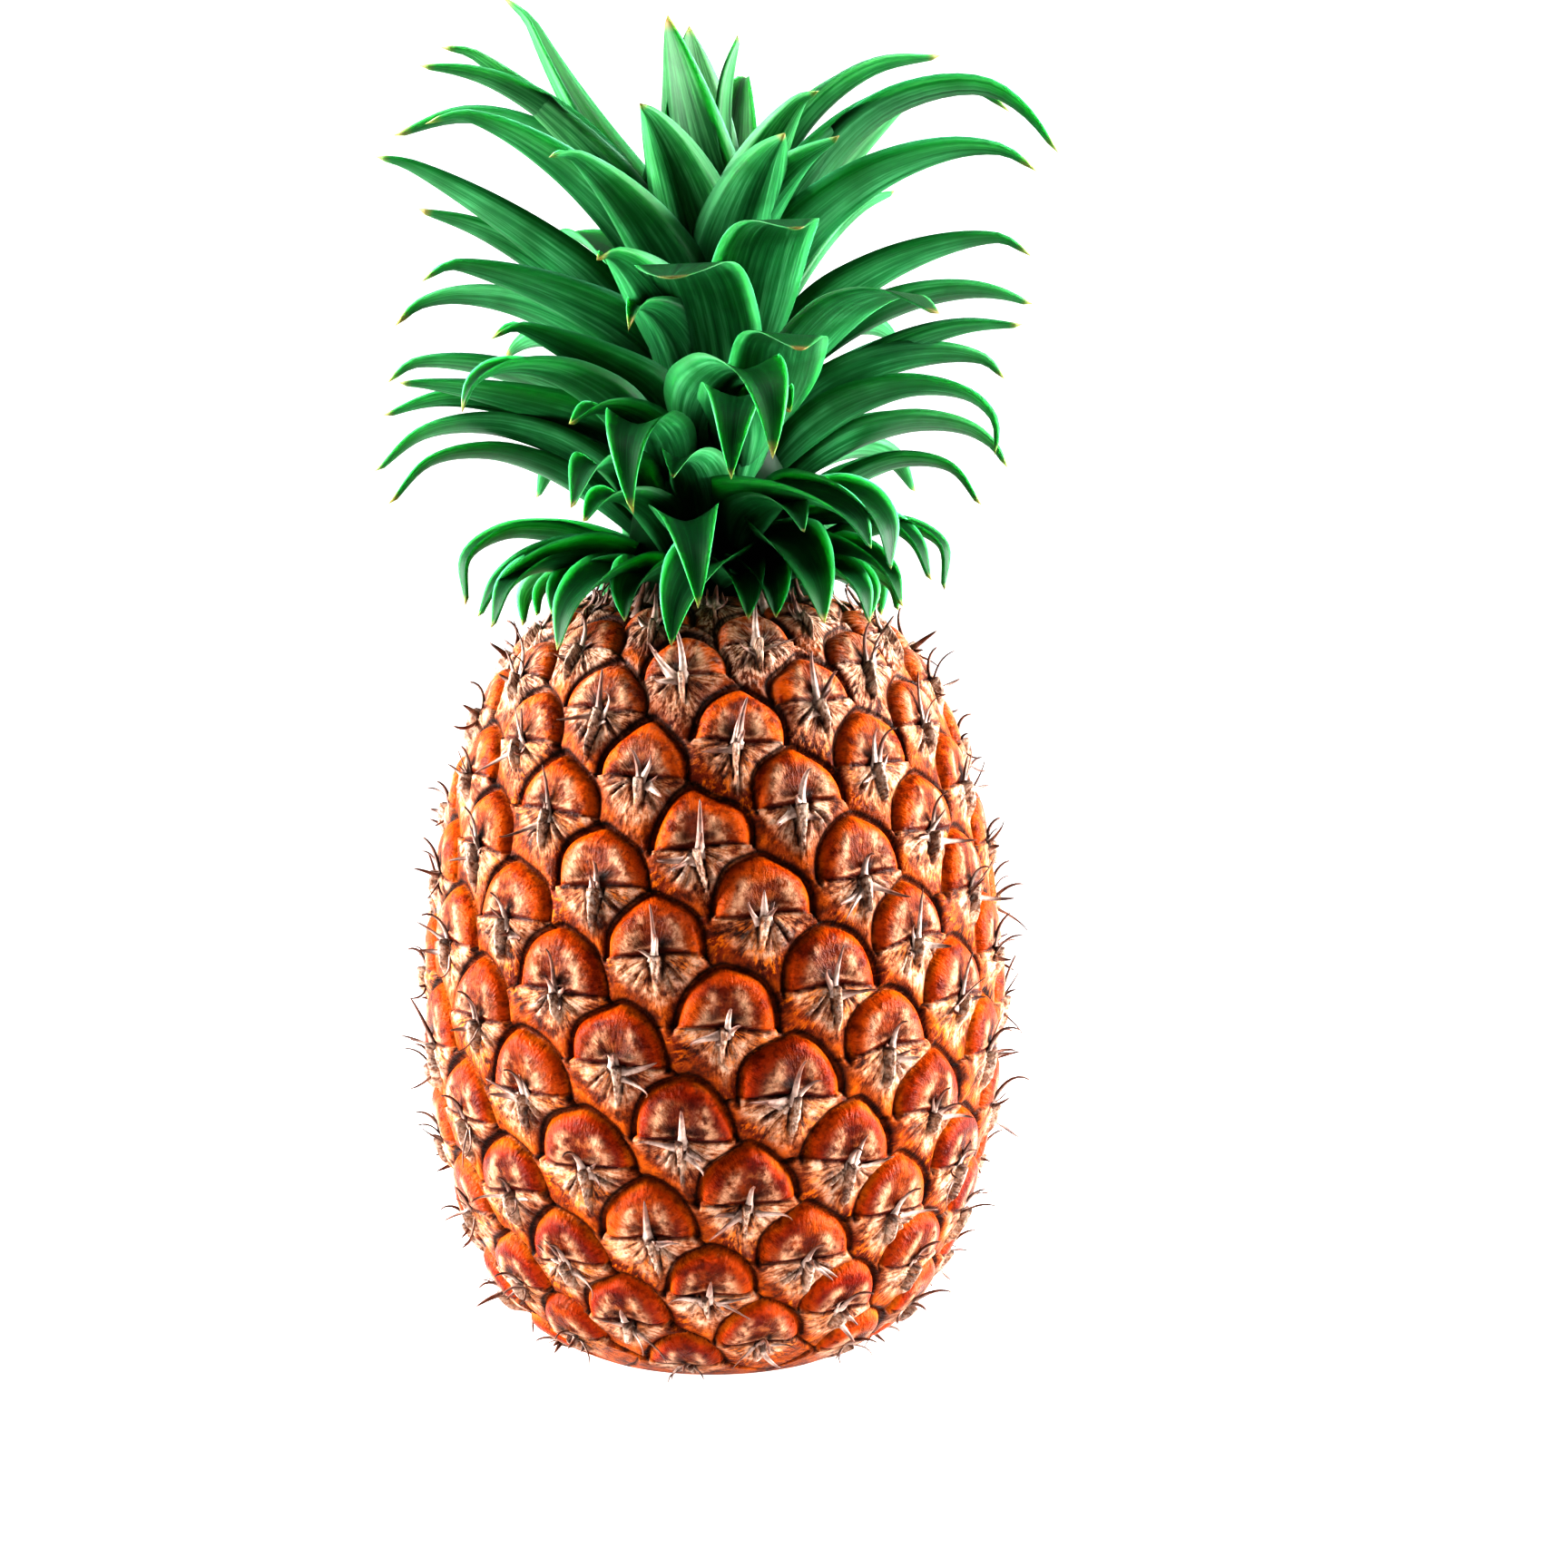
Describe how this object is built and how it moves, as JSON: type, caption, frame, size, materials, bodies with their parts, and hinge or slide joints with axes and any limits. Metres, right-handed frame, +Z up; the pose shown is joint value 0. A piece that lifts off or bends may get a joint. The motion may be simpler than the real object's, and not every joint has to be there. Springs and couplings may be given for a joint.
{
  "type": "pineapple",
  "caption": "Whole fresh pineapple standing on its base: barrel fruit of spiral spiny eyes, a full green leafy crown and the cut end of its stalk.",
  "frame": {"origin": "centre of the cut stalk end, on the surface that the pineapple stands on", "axes": "+Z up along the fruit's axis from the base to the crown, -Y towards the viewer, +X to the viewer's right"},
  "size_m": [0.1387, 0.1323, 0.2742],
  "materials": {
    "rind": "glossy orange to red-brown eyes with dull pinkish tan bracts and near black grooves",
    "leaf": "satin deep green blades with pale mint edges and undersides and dry brown tips",
    "stalk": "dry pale tan fibre ends, matt"
  },
  "bodies": {
    "root": {"fruit": "rind", "crown": "leaf", "cut_stalk": "stalk"}
  },
  "joints": []
}
